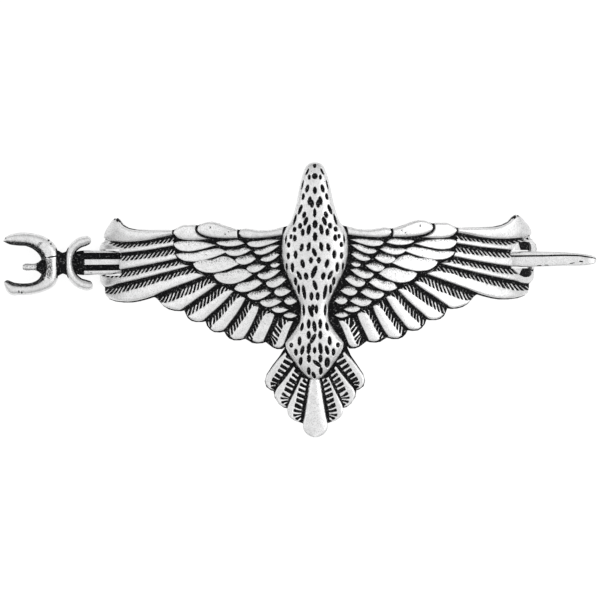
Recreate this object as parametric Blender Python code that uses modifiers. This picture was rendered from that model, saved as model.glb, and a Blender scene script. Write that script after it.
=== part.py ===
"""Bird hair slide: a bowed cast bird plate with a hole in each wing tip, and a stick that passes through both.

Plan shapes are drawn flat in millimetres, with x along the span, y towards the head and h up from the plate's face.
bend() then bows them about the head-to-tail line and sets the plate on its wing tips at z = 0.
"""
import math

import bmesh
import bpy
from mathutils import Matrix

MM = 0.001

# Bow: one wide arc over the span, then a tight arc at each wing tip.
SPAN_RADIUS = 90.0
TIP_START = 50.0
TIP_RADIUS = 20.0
TIP_SLOPE = math.asin(TIP_START / SPAN_RADIUS)
TIP_CENTRE = TIP_START - TIP_RADIUS * math.sin(TIP_SLOPE)
TIP_DROP = SPAN_RADIUS * (1 - math.cos(TIP_SLOPE))
REST_TO_CREST = 24.75

# Where the bird's own centre lies from the middle of the whole object's plan.
OFFSET_X = 4.12
OFFSET_Y = 10.4

PLATE_BACK = -1.6
FIELD = -0.5
FACE = 0.0
GAP = 0.3
CUT_EVERY = 5.0
TIP_CUT_EVERY = 2.0

HOLE_CENTRE = (54.2, -0.3)
HOLE_HALF = (2.5, 4.5)

STICK_Y = -0.1
STICK_BOTTOM = 2.5
STICK_TIP_X = 74.2
AXIS_UP = 1.45
ROOT_X = -63.7
ROOT_WIDE = 3.0
ROOT_THICK = 1.6
CRESCENT_THICK = 3.4
PEG_ROOT = (-72.65, -1.1)
# Radius and distance along the peg, from its end back to its root.
PEG_PROFILE = [(0, 4.75), (0.75, 4.75), (0.95, 4.25), (1.0, 1.35), (1.35, 0.65), (1.5, 0), (0, 0)]

# The left half of the plate's outline, from under the crown of the head round to the tail's end.
OUTLINE = [
    (0, 24.4), (-1.5, 24.0), (-2.7, 22.3), (-3.3, 19.0), (-3.9, 15.6), (-4.8, 12.1), (-6.0, 9.9),
    (-7.4, 9.1), (-9, 8.7), (-11, 8.2), (-13, 8), (-15, 8), (-17, 8.3), (-18.7, 8.5), (-20.2, 8.2),
    (-21.5, 8.5), (-23.5, 9.1), (-25.5, 9.9), (-27.5, 10.4), (-29.3, 10.2), (-31, 9.5), (-33, 9.6),
    (-35, 9.6), (-36.3, 9), (-37.5, 8.35), (-40, 8.35), (-44, 8.35), (-47.5, 8.5), (-49.8, 9),
    (-51.4, 9.9), (-52.2, 11), (-53, 11.8), (-54.6, 11.2), (-55.4, 10.2), (-56.1, 9), (-56.4, 7.8),
    (-56.4, 6.8), (-56.2, 6), (-56.9, 5), (-57.5, 3.8), (-57.7, 2.5), (-57.7, 0), (-57.5, -2.6),
    (-57.3, -5), (-56.8, -6), (-56.2, -6.6), (-56.2, -7.6), (-55.8, -8.9), (-54.9, -9.8),
    (-53.3, -10.4), (-51, -10.7), (-49, -10.7), (-47, -10.4), (-45, -9.9), (-43, -9.3), (-42, -9.7),
    (-41.2, -10.8), (-40.3, -11.8), (-39, -12.6), (-37.5, -13), (-36, -13.1), (-34.9, -12.9),
    (-34.5, -13.9), (-34, -14.9), (-33, -15.7), (-31.8, -16), (-30.3, -16), (-29.3, -15.8),
    (-28.9, -17), (-28, -18.1), (-27, -18.7), (-25.6, -18.8), (-24.3, -18.6), (-23.8, -19.6),
    (-23, -20.4), (-21.8, -20.9), (-20.3, -20.9), (-18.8, -20.5), (-17.9, -21), (-17, -21.6),
    (-15.8, -21.8), (-14.3, -21.7), (-13.4, -21.4), (-12.5, -22.1), (-11.4, -22.9), (-10.3, -23.3),
    (-9, -23.3), (-8.2, -22.7), (-9.4, -25), (-11.3, -27.6), (-12.8, -29.9), (-13.3, -31.7),
    (-12.9, -33.2), (-11.7, -34.1), (-11, -34.3), (-10.7, -36), (-9.6, -37.7), (-8.3, -38.7),
    (-7.4, -38.9), (-7.1, -40.5), (-5.6, -42.1), (-4.3, -42.6), (-3.4, -42.8), (-2.5, -44.7),
    (-1.2, -46.2), (0, -46.6),
]

# Raised feather bands of the left wing, leading edge first.
BANDS = [
    [(-37.8, 8.1), (-41, 8.05), (-45, 8.05), (-48, 8.2), (-50, 8.7), (-51.5, 9.6), (-52.4, 10.8),
     (-53, 11.4), (-54.3, 10.9), (-55.2, 9.9), (-55.8, 8.7), (-56.1, 7.6), (-56, 6.7), (-55.5, 6.2),
     (-54, 5.75), (-52, 5.45), (-48, 5.35), (-45, 5.55), (-42, 6), (-40, 6.4), (-37.8, 6.9)],
    [(-37.4, 4.2), (-40, 3.8), (-45, 3.05), (-51, 2.5), (-57.35, 2.2), (-57.2, 3.6), (-56.6, 4.7),
     (-55, 5), (-53, 4.4), (-51, 3.9), (-48, 4), (-44, 4.5), (-40, 5), (-37.4, 5.3)],
    [(-36.5, 0.8), (-40, 0.05), (-45, -0.9), (-51.8, -1.9), (-57.2, -2.6), (-57.4, 0),
     (-57.35, 1.9), (-51.5, 0.3), (-48, 0.5), (-44, 0.8), (-40, 1.4), (-37, 1.9)],
    [(-33, -1.1), (-36, -1.9), (-40, -2.95), (-44, -3.95), (-48, -4.85), (-52, -5.65), (-56, -6.4),
     (-56.9, -5.6), (-57.1, -3.6), (-55.5, -4), (-53.5, -4.2), (-50, -3.9), (-46, -3.2),
     (-42, -2.3), (-38, -1.4), (-35.5, -0.9)],
    [(-29.3, -3.8), (-32, -4.85), (-36, -6.3), (-40, -7.8), (-43, -8.95), (-45, -9.6),
     (-47, -10.1), (-49, -10.4), (-51, -10.4), (-53.3, -10.1), (-55, -9.4), (-55.7, -8.4),
     (-53, -8.5), (-50, -7.8), (-46, -6.8), (-42, -5.6), (-38, -4.6), (-34, -3.4), (-31.5, -3.1)],
    [(-26, -6), (-27, -6.85), (-29, -8.3), (-31, -9.6), (-33, -11), (-34.9, -12.3), (-36, -12.75),
     (-37.5, -12.65), (-39, -12.2), (-40.3, -11.5), (-40.9, -10.9), (-39.6, -11), (-37, -10.2),
     (-34.5, -9.2), (-32, -8.2), (-30, -7.1), (-28.5, -6.2), (-26.8, -5.7)],
    [(-21.6, -8), (-22.5, -8.9), (-24, -10.5), (-26, -12.4), (-28, -14.1), (-29.4, -15.3),
     (-30.5, -15.7), (-31.8, -15.7), (-33, -15.2), (-33.7, -14.5), (-32, -13.6), (-30, -12.4),
     (-28.5, -11.4), (-27, -10.4), (-25.5, -9.2), (-24, -8.1), (-22.4, -7.7)],
    [(-18.5, -9.9), (-19.8, -12.2), (-21.1, -14.2), (-22.6, -16.1), (-24.4, -18.1), (-25.6, -18.4),
     (-27, -18.3), (-27.8, -17.7), (-27.1, -16.8), (-26, -15.9), (-25, -14.8), (-23.6, -13.3),
     (-22.6, -12), (-21.6, -10.8), (-20.6, -9.8), (-19.2, -9.5)],
    [(-15, -12.2), (-15.5, -13.8), (-16.3, -15.5), (-17.3, -17.5), (-18.7, -19.7), (-19, -20.2),
     (-20.3, -20.5), (-21.8, -20.5), (-22.4, -20), (-21.6, -18.9), (-20.6, -17.7), (-19.2, -15.6),
     (-18.2, -14.3), (-17, -12.4), (-16.2, -11.9)],
    [(-10.9, -14.5), (-11.6, -16.4), (-12.5, -18.3), (-13.3, -20), (-13.7, -21.1), (-15.8, -21.4),
     (-16.7, -21), (-16.3, -19.6), (-15.2, -17.3), (-14, -15), (-13, -14), (-11.3, -13.9)],
    [(-5.9, -16), (-7, -18.3), (-7.9, -20.6), (-8.8, -22.7), (-10.3, -22.9), (-11.2, -22.5),
     (-10.3, -21.6), (-9.7, -20), (-9, -18.5), (-8.3, -17), (-7, -16)],
    [(-8.9, 8.3), (-11, 7.9), (-13, 7.7), (-15, 7.7), (-17, 8), (-18.7, 8.2), (-19.8, 7.8),
     (-20.1, 7.1), (-19.6, 6.3), (-18, 5.95), (-15, 6), (-12, 6.2), (-8.9, 6.7)],
    [(-20.9, 8.1), (-21.5, 8.15), (-23.5, 8.75), (-25.5, 9.55), (-27.5, 10.05), (-29.3, 9.85),
     (-30.5, 9.2), (-30.9, 8.4), (-30.6, 7.5), (-29.5, 6.8), (-27, 6.15), (-24, 5.9), (-20.6, 6)],
    [(-31.6, 9.1), (-33, 9.25), (-35, 9.25), (-36.3, 8.65), (-37.1, 8), (-37.2, 7.2),
     (-36.6, 6.3), (-35, 5.8), (-32, 5.5), (-28.9, 5.7), (-29.9, 6.3), (-31.3, 7), (-31.8, 8)],
    [(-3.6, -31.6), (-7.2, -38.6), (-6.9, -40.3), (-5.6, -41.7), (-4.5, -42), (-4.6, -39.5),
     (-3.9, -36), (-2.9, -32.5)],
    [(-6.2, -28.6), (-10.7, -34.4), (-10.4, -35.9), (-9.3, -37.4), (-8.4, -38.1), (-8.1, -36.6),
     (-7.3, -34.2), (-5.5, -30.4)],
    [(-8.9, -25.2), (-11, -28), (-12.4, -30.1), (-12.9, -31.7), (-12.5, -32.9), (-11.6, -33.6),
     (-10.8, -31.8), (-9.3, -29), (-7.7, -26.6)],
]
TAIL_KEEL = [(-1.2, -31.9), (-1.9, -35), (-2.6, -38.5), (-3, -41), (-3.1, -42.7), (-2.3, -44.4),
             (-1.1, -45.8), (0, -46.2)]

# Coverts of the left wing: outer end, lowest point, inner end, then one or more points along the upper edge.
COVERTS = [
    [(-37, 4.7), (-34, 2.8), (-26.5, 4.25), (-30, 4.7), (-34, 4.9)],
    [(-36.3, 2), (-32.5, 0.1), (-23.8, 2.3), (-25.5, 2.8), (-28.5, 2.6), (-32, 1.9)],
    [(-31.8, -0.7), (-27.5, -2.9), (-20.6, -0.9), (-22.5, 0.2), (-24.5, 0.7), (-27, 0)],
    [(-26.4, -3.7), (-22.5, -5.9), (-17, -3.7), (-18.5, -2.9), (-20.5, -2.6), (-23.5, -3.4)],
    [(-21.2, -7.2), (-18.9, -8.1), (-14.3, -6), (-15.5, -5.4), (-17.5, -5.9)],
    [(-17.8, -8.9), (-15.7, -10.2), (-12, -8.5), (-13.3, -7.9), (-15.2, -8.4)],
    [(-14.5, -10.8), (-12.4, -12.1), (-9.2, -10.8), (-10.3, -10.2), (-12, -10.5)],
    [(-11.5, -12.7), (-9.6, -13.7), (-7.4, -12.9), (-9.2, -12.4)],
    [(-8.4, -14.4), (-6.6, -15.1), (-5, -14.4), (-6.5, -14)],
    [(-25.8, 4.9), (-22.2, 3.9), (-18.9, 4.6), (-20, 5), (-23.5, 4.9)],
    [(-23.7, 2.7), (-21, 1.4), (-17.2, 2.8), (-18.5, 3.1), (-20.5, 2.7)],
    [(-20.9, 0.3), (-18.8, -0.9), (-15.8, 0.5), (-16.8, 1.1), (-19, 0.9)],
    [(-18, -1.9), (-16.2, -3), (-13.3, -1.4), (-15, -1.2)],
    [(-15.1, -3.7), (-13.2, -4.8), (-9.4, -2.6), (-11, -2.6), (-13, -3.3)],
    [(-12.9, -5.9), (-11.2, -7), (-7.9, -5), (-9, -4.5), (-11, -5.1)],
    [(-10.8, -8.2), (-9.2, -9.3), (-6.6, -8), (-8.3, -7.3)],
    [(-8.2, -10.6), (-6.8, -11.6), (-5, -10.7), (-6.3, -9.9)],
    [(-17.7, 4.7), (-15.8, 3.7), (-9.5, 5.4), (-12, 5.2), (-15, 4.9)],
    [(-15.9, 2.4), (-14.4, 1.7), (-9.6, 4), (-11.5, 3.7), (-14, 2.8)],
    [(-14.3, 0.3), (-12.6, -0.2), (-9.6, 1.5), (-10.8, 1.8), (-12.6, 1)],
    [(-11.8, -1.2), (-10.7, -1.8), (-9.4, -0.9), (-10.5, -0.7)],
]

# The bird's body: distance along it, half-width and crown height.
BODY = [
    (25.8, 0.5, 0.9), (25.2, 2.0, 1.5), (23.9, 3.0, 2.1), (21.3, 3.75, 2.6), (18.6, 4.3, 2.9),
    (16.0, 4.8, 3.1), (13.3, 5.35, 3.3), (10.7, 6.3, 3.5), (9.3, 7.1, 3.6), (8.1, 7.8, 3.7),
    (6.7, 8.2, 3.8), (4.1, 8.6, 3.9), (1.5, 8.65, 3.9), (-1.2, 8.3, 3.8), (-3.0, 7.7, 3.7),
    (-5.2, 6.9, 3.5), (-7.8, 5.55, 3.2), (-10.4, 4.15, 2.9), (-11.8, 3.75, 2.75), (-14.4, 3.7, 2.6),
    (-15.7, 3.9, 2.6), (-17.1, 4.4, 2.6), (-18.4, 4.9, 2.65), (-19.7, 5.6, 2.7), (-21.0, 6.75, 2.8),
    (-22.2, 7.7, 2.8), (-23.7, 7.1, 2.7), (-26.3, 5.5, 2.3), (-29.0, 3.6, 1.8), (-30.3, 2.4, 1.4),
    (-31.4, 0.7, 0.9),
]
BODY_SIDE = 0.45
BODY_ARC_STEPS = 14
BODY_BASE_STEPS = 6

# The stick's shaft: distance along it, width, thickness and groove depth.
SHAFT = [
    (-61.3, 6.2, 2.7, 0.6), (-60.6, 6.5, 2.9, 0.7), (-50, 6.2, 3.0, 0.7), (-30, 5.8, 2.9, 0.6),
    (0, 5.2, 2.7, 0.5), (30, 4.6, 2.5, 0.35), (50, 4.25, 2.4, 0.25), (62, 3.9, 2.2, 0.15),
    (67, 3.3, 2.0, 0.1), (70, 2.8, 1.9, 0.05), (72.8, 2.6, 1.8, 0.03), (73.8, 2.0, 1.5, 0.01),
]
# Across the shaft's section: place on the half-width, height as a share of the thickness, and share of the groove.
SHAFT_SECTION = [
    (-0.7, 0, 0), (0.7, 0, 0), (0.93, 0.1, 0), (1, 0.3, 0), (1, 0.7, 0), (0.95, 0.92, 0),
    (0.86, 1, 0), (0.8, 1, 0), (0.74, 1, 1), (0.36, 1, 1), (0.28, 1, 0), (-0.2, 1, 0),
    (-0.26, 1, 1), (-0.62, 1, 1), (-0.68, 1, 0), (-0.84, 1, 0), (-0.94, 0.92, 0), (-1, 0.7, 0),
    (-1, 0.3, 0), (-0.93, 0.1, 0),
]

BIG_CRESCENT = [
    (-82.5, 5.8), (-81.4, 7.15), (-79.6, 7.8), (-76.9, 8.05), (-74.3, 7.75), (-71.65, 6.95),
    (-70.3, 6.15), (-69, 4.95), (-68.1, 3.6), (-68, 0), (-68.1, -3.9), (-68.6, -5.4),
    (-69.5, -6.45), (-70.9, -7.2), (-72.45, -7.8), (-74.8, -8.35), (-77.7, -8.5), (-80.9, -8.2),
    (-81.5, -7.6), (-81.7, -6.4), (-82.4, -5.8), (-82.5, -4.75), (-81.7, -4.6), (-79.6, -5.2),
    (-77.2, -5.45), (-74.8, -5.2), (-73.5, -4.6), (-72.7, -3.8), (-72.35, -2.9), (-72.3, 1),
    (-72.6, 1.6), (-73.5, 2.8), (-74.8, 3.8), (-76.4, 4.45), (-78.3, 4.6), (-80.9, 5),
]
COLLAR = [
    (-59.5, 6.1), (-60.2, 6.75), (-61.5, 6.7), (-63.2, 5.9), (-64.8, 4.4), (-65.6, 2.9),
    (-67.7, 2.6), (-67.7, -2.9), (-65.6, -3.1), (-64.8, -4.6), (-63.3, -6.1), (-61.6, -6.9),
    (-60.1, -7), (-59.4, -6.3), (-59.5, -5), (-60.3, -4.4), (-61.8, -4.1), (-63.2, -3),
    (-63.9, -1.5), (-64.1, 0), (-63.9, 1.5), (-63.2, 2.9), (-61.9, 4), (-60.5, 4.5), (-59.5, 5.1),
]


def bend(x, y, h):
    """A flat plan point, in millimetres, at its place on the bowed plate, in metres."""
    side = -1 if x < 0 else 1
    if abs(x) <= TIP_START:
        slope = math.asin(abs(x) / SPAN_RADIUS)
        drop = SPAN_RADIUS * (1 - math.cos(slope))
    else:
        slope = math.asin((abs(x) - TIP_CENTRE) / TIP_RADIUS)
        drop = TIP_DROP + TIP_RADIUS * (math.cos(TIP_SLOPE) - math.cos(slope))
    across = x + side * h * math.sin(slope)
    up = REST_TO_CREST - drop + h * math.cos(slope)
    return ((across + OFFSET_X) * MM, (y + OFFSET_Y) * MM, up * MM)


def mirrored(points):
    return [(-x, y) for x, y in reversed(points)]


def covert_outline(outer, low, inner, *upper):
    """A leaf shape with a rounded lower edge."""
    return [
        outer,
        (outer[0] + 0.4 * (low[0] - outer[0]), outer[1] + 0.75 * (low[1] - outer[1])),
        low,
        (low[0] + 0.55 * (inner[0] - low[0]), low[1] + 0.35 * (inner[1] - low[1])),
        inner,
        *upper,
    ]


def hole_outline(side):
    """A rounded-end slot across the wing tip."""
    points = []
    for i in range(20):
        angle = 2 * math.pi * i / 20
        c = math.cos(angle)
        s = math.sin(angle)
        x = HOLE_CENTRE[0] + HOLE_HALF[0] * math.copysign(abs(c) ** 0.6, c)
        y = HOLE_CENTRE[1] + HOLE_HALF[1] * math.copysign(abs(s) ** 0.6, s)
        points.append((side * x, y))
    return points


def add_block(bm, points, low, high):
    """A filled 2D curve, extruded from low to high and added to bm with its caps welded on."""
    curve = bpy.data.curves.new("outline", "CURVE")
    curve.dimensions = "2D"
    curve.fill_mode = "BOTH"
    curve.extrude = (high - low) / 2
    spline = curve.splines.new("POLY")
    spline.points.add(len(points) - 1)
    for point, (x, y) in zip(spline.points, points):
        point.co = (x, y, 0, 1)
    spline.use_cyclic_u = True
    drawn = bpy.data.objects.new("outline", curve)
    bpy.context.scene.collection.objects.link(drawn)
    graph = bpy.context.evaluated_depsgraph_get()
    mesh = bpy.data.meshes.new_from_object(drawn.evaluated_get(graph))
    mesh.transform(Matrix.Translation((0, 0, (low + high) / 2)))
    bm.from_mesh(mesh)
    bmesh.ops.remove_doubles(bm, verts=bm.verts[:], dist=1e-5)
    bpy.data.objects.remove(drawn)
    bpy.data.curves.remove(curve)
    bpy.data.meshes.remove(mesh)


def add_loft(bm, rings):
    """A closed skin through rings of equally many points, each in metres."""
    rows = [[bm.verts.new(point) for point in ring] for ring in rings]
    count = len(rows[0])
    for first, second in zip(rows, rows[1:]):
        for i in range(count):
            j = (i + 1) % count
            bm.faces.new((first[i], first[j], second[j], second[i]))
    bm.faces.new(rows[0])
    bm.faces.new(rows[-1])


def object_from(bm, name, collection):
    bmesh.ops.recalc_face_normals(bm, faces=bm.faces)
    mesh = bpy.data.meshes.new(name)
    bm.to_mesh(mesh)
    bm.free()
    obj = bpy.data.objects.new(name, mesh)
    collection.objects.link(obj)
    return obj


def as_cutter(obj):
    obj.display_type = "WIRE"
    obj.hide_render = True
    return obj


def boolean(obj, other, operation):
    modifier = obj.modifiers.new(operation.title(), "BOOLEAN")
    modifier.operation = operation
    modifier.solver = "EXACT"
    modifier.object = other


def flat_plate(cutters):
    """The plate before bending: a slab with raised feathers and two holes."""
    bm = bmesh.new()
    add_block(bm, OUTLINE + mirrored(OUTLINE[1:-1]), PLATE_BACK, FIELD)
    flat = as_cutter(object_from(bm, "flat_plate", cutters))
    bm = bmesh.new()
    for band in BANDS + [covert_outline(*covert) for covert in COVERTS]:
        add_block(bm, band, FIELD - 0.4, FACE)
        add_block(bm, mirrored(band), FIELD - 0.4, FACE)
    add_block(bm, TAIL_KEEL + mirrored(TAIL_KEEL[:-1]), FIELD - 0.4, FACE)
    raised = as_cutter(object_from(bm, "raised_feathers", cutters))
    bm = bmesh.new()
    for side in (-1, 1):
        add_block(bm, hole_outline(side), PLATE_BACK - 2, FACE + 2)
    holes = as_cutter(object_from(bm, "hole_cutter", cutters))
    boolean(flat, raised, "UNION")
    boolean(flat, holes, "DIFFERENCE")
    return flat


def wing_plate(parts, cutters):
    """The bowed plate: the flat one cut across into narrow strips, bent, and levelled under its wing tips."""
    flat = flat_plate(cutters)
    graph = bpy.context.evaluated_depsgraph_get()
    mesh = bpy.data.meshes.new_from_object(flat.evaluated_get(graph))
    bm = bmesh.new()
    bm.from_mesh(mesh)
    bpy.data.meshes.remove(mesh)
    bmesh.ops.dissolve_limit(bm, angle_limit=math.radians(1), verts=bm.verts[:], edges=bm.edges[:])
    cuts = [i * CUT_EVERY for i in range(int(TIP_START / CUT_EVERY) + 1)]
    cuts += [TIP_START + i * TIP_CUT_EVERY for i in range(1, 4)]
    for x in sorted({side * cut for cut in cuts for side in (-1, 1)}):
        bmesh.ops.bisect_plane(
            bm,
            geom=bm.verts[:] + bm.edges[:] + bm.faces[:],
            dist=1e-5,
            plane_co=(x, 0, 0),
            plane_no=(1, 0, 0),
        )
    bmesh.ops.triangulate(bm, faces=bm.faces[:])
    for vert in bm.verts:
        vert.co = bend(*vert.co)
    bmesh.ops.remove_doubles(bm, verts=bm.verts[:], dist=2e-6)
    plate = object_from(bm, "wing_plate", parts)
    bpy.ops.mesh.primitive_cube_add(size=0.2, location=(0, 0, -0.1))
    floor = bpy.context.object
    floor.name = "rest_plane"
    for holder in floor.users_collection:
        holder.objects.unlink(floor)
    cutters.objects.link(floor)
    boolean(plate, as_cutter(floor), "DIFFERENCE")
    return plate


def bird_body(parts):
    """The domed body, standing just clear of the plate's face."""
    rings = []
    for y, half, crown in BODY:
        ring = []
        for i in range(BODY_ARC_STEPS + 1):
            angle = math.pi * i / BODY_ARC_STEPS
            rise = BODY_SIDE + (crown - BODY_SIDE) * math.sin(angle) ** 0.9
            ring.append(bend(half * math.cos(angle), y, GAP + rise))
        for i in range(BODY_BASE_STEPS + 1):
            ring.append(bend(-half + 2 * half * i / BODY_BASE_STEPS, y, GAP))
        rings.append(ring)
    bm = bmesh.new()
    add_loft(bm, rings)
    return object_from(bm, "bird_body", parts)


def shaft_ring(x, width, thickness, groove):
    """One cross-section of the shaft, measured from the stick's axis."""
    return [
        ((x + OFFSET_X) * MM, a * width / 2 * MM, (b * thickness - c * groove - AXIS_UP) * MM)
        for a, b, c in SHAFT_SECTION
    ]


def stick_shaft(parts):
    """The tapered bar, with a narrow root inside the collar and a blunt round tip."""
    rings = []
    for x in (ROOT_X, SHAFT[0][0] - 0.2):
        rings.append(
            [
                ((x + OFFSET_X) * MM, a * ROOT_WIDE / 2 * MM, (0.4 + b * ROOT_THICK - AXIS_UP) * MM)
                for a, b, _ in SHAFT_SECTION
            ]
        )
    rings += [shaft_ring(*station) for station in SHAFT]
    rings.append(
        [
            ((STICK_TIP_X + OFFSET_X) * MM, a * 0.4 * MM, (0.5 + 0.6 * b - AXIS_UP) * MM)
            for a, b, _ in SHAFT_SECTION
        ]
    )
    bm = bmesh.new()
    add_loft(bm, rings)
    return object_from(bm, "stick_shaft", parts)


def crescent(name, outline, parts):
    """A crescent drawn flat about the stick's axis, with its edges rounded."""
    bm = bmesh.new()
    add_block(bm, outline, -CRESCENT_THICK / 2, CRESCENT_THICK / 2)
    bmesh.ops.translate(bm, verts=bm.verts, vec=(OFFSET_X, -STICK_Y, 0))
    bmesh.ops.scale(bm, verts=bm.verts, vec=(MM, MM, MM))
    obj = object_from(bm, name, parts)
    bevel = obj.modifiers.new("Bevel", "BEVEL")
    bevel.width = 0.6 * MM
    bevel.segments = 2
    bevel.limit_method = "ANGLE"
    bevel.angle_limit = math.radians(60)
    return obj


def finial_peg(parts):
    """The short peg in the large crescent's mouth, flared where it starts: a turned shape laid along the stick."""
    bm = bmesh.new()
    points = [bm.verts.new((radius * MM, 0, along * MM)) for radius, along in PEG_PROFILE]
    for first, second in zip(points, points[1:]):
        bm.edges.new((first, second))
    mesh = bpy.data.meshes.new("finial_peg")
    bm.to_mesh(mesh)
    bm.free()
    peg = bpy.data.objects.new("finial_peg", mesh)
    peg.location = ((PEG_ROOT[0] + OFFSET_X) * MM, (PEG_ROOT[1] - STICK_Y) * MM, 0)
    peg.rotation_euler = (0, -math.pi / 2, 0)
    parts.objects.link(peg)
    screw = peg.modifiers.new("Screw", "SCREW")
    screw.steps = 16
    screw.render_steps = 16
    screw.use_merge_vertices = True
    screw.merge_threshold = 0.00001
    return peg


def material(name, colour, roughness):
    made = bpy.data.materials.new(name)
    made.use_nodes = True
    shader = made.node_tree.nodes["Principled BSDF"]
    shader.inputs["Base Color"].default_value = (*colour, 1)
    shader.inputs["Metallic"].default_value = 1
    shader.inputs["Roughness"].default_value = roughness
    return made


def guide(name, location, pieces, parts):
    """An empty that carries the pieces of one casting."""
    empty = bpy.data.objects.new(name, None)
    empty.location = location
    parts.objects.link(empty)
    for piece in pieces:
        piece.parent = empty


def main():
    for obj in list(bpy.data.objects):
        bpy.data.objects.remove(obj)
    parts = bpy.data.collections.new("bird_hair_slide")
    cutters = bpy.data.collections.new("cutters")
    cutters.hide_render = True
    bpy.context.scene.collection.children.link(parts)
    bpy.context.scene.collection.children.link(cutters)
    plate = [wing_plate(parts, cutters), bird_body(parts)]
    stick = [
        stick_shaft(parts),
        crescent("crescent_finial", BIG_CRESCENT, parts),
        crescent("collar_crescent", COLLAR, parts),
        finial_peg(parts),
    ]
    guide("plate_casting", (0, 0, 0), plate, parts)
    axis = (0, (STICK_Y + OFFSET_Y) * MM, (STICK_BOTTOM + AXIS_UP) * MM)
    guide("stick_casting", axis, stick, parts)
    for piece in plate + stick:
        finish = material(piece.name + "_silver", (0.78, 0.78, 0.79), 0.4)
        piece.data.materials.append(finish)


main()
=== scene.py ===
"""Looks of a bird hair slide: a bowed, antiqued silver bird with a grooved stick through its wing tips.

The bird's plan is drawn flat, in millimetres: x along the span, y towards the head, heights from the plate's
face. bow() then bends each finished piece over the same arcs as the solids.
"""
import math

import bpy
import numpy as np
from bpy.props import FloatProperty, FloatVectorProperty, PointerProperty
from mathutils import Matrix, Vector


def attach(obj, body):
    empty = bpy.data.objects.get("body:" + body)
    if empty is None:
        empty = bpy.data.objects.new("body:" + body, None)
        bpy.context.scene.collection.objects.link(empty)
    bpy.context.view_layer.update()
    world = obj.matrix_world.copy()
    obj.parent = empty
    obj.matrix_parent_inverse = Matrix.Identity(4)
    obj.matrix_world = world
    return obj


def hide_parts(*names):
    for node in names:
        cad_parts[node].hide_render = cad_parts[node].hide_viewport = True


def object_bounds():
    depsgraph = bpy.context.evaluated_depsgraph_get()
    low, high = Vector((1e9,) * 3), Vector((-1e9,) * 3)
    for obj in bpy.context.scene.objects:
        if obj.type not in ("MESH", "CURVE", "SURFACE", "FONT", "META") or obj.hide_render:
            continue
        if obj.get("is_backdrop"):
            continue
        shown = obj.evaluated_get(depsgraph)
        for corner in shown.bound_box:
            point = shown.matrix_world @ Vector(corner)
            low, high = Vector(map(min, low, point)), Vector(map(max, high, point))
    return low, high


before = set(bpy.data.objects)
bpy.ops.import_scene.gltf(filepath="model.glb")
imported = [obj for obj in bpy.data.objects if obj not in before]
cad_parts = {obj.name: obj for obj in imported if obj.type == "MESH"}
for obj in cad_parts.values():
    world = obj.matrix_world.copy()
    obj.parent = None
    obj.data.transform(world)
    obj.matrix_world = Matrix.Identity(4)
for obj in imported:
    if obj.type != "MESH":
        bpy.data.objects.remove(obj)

bl_info = {
    "name": "Bird Hair Slide",
    "version": (1, 0, 0),
    "blender": (4, 5, 0),
    "location": "View3D > Sidebar > Hair Slide",
    "description": "Models the antiqued silver bird, its engraved feathers and its crescent stick",
    "category": "Object",
}

MM = 0.001

# Bow of the plate: one wide arc over the span, then a tight arc at each wing tip.
SPAN_RADIUS = 90.0
TIP_START = 50.0
TIP_RADIUS = 20.0
TIP_SLOPE = math.asin(TIP_START / SPAN_RADIUS)
TIP_CENTRE = TIP_START - TIP_RADIUS * math.sin(TIP_SLOPE)
TIP_DROP = SPAN_RADIUS * (1 - math.cos(TIP_SLOPE))
REST_TO_CREST = 24.75
# How much further the right wing tip reaches than the left one, and what its hooked plate and rim add.
RIGHT_REACH = 0.75
HOOK_REACH = 0.7
RIM_REACH = 0.65
OFFSET_X = 4.12
OFFSET_Y = 10.4

# Heights from the plate's face, in millimetres.
PLATE_BACK = -1.6
GROUND = -0.62
UNDER = -0.9
LINE_FLOOR = -0.5
EDGE_ROUND = 0.4
DEEP = 0.6

# Barbs: depth of cut, the lowest that they reach, their pitch on the tail, and how many differ by chance.
BARB_DEPTH = 0.36
BARB_FLOOR = -0.58
TAIL_PITCH = 1.42
DIFFERING = 64
# How pale the first feather is rubbed, and between which distances from its tip that fades.
PALE_TIP = 0.7
PALE_REACH = (0.5, 4.5)
# Every cutter is longer than the plate is thick.
CUTTER_TOP = 3
CUTTER_BOTTOM = PLATE_BACK - 2.5
HALF_SPAN = 58

# Mesh fineness, in millimetres, then counts of rows and columns.
ROW_STEP = 0.13
COLUMN_STEP = 0.12
MERGE = 2e-7
SHAFT_ROWS = 420
BODY_COLUMNS = 120
# The shaft's cross-section is a rounded square of this power.
SQUARENESS = 6

AXIS_SHIFT = -0.4
# The right tip's hole, mirrored and anticlockwise, then the ends of the narrower way through the plate.
HOLE = [
    (-51.7, 2.0), (-52.4, 3.4), (-53.2, 4.4), (-54.6, 4.6), (-55.8, 4.35), (-56.2, 3.6), (-56.3, 2.7),
    (-56.3, 0), (-56.4, -2.4), (-56.5, -3.4), (-56.2, -4.3), (-55.6, -4.8), (-54.6, -4.9), (-53.6, -4.4),
    (-52.6, -3.4), (-51.7, -2.2),
]
SLOT_ENDS = (51.7, 56.7)
# Half-width of the through slot under the stick, at the collar's end and at the tip's end.
SLOT_HALF = {-1: 3.45, 1: 2.4}
STICK_Y = -0.1
# How far the stick's point bends down, as seen from above.
POINT_DROOP = 0.35
STICK_BOTTOM = 2.5
AXIS_UP = 1.45

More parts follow.
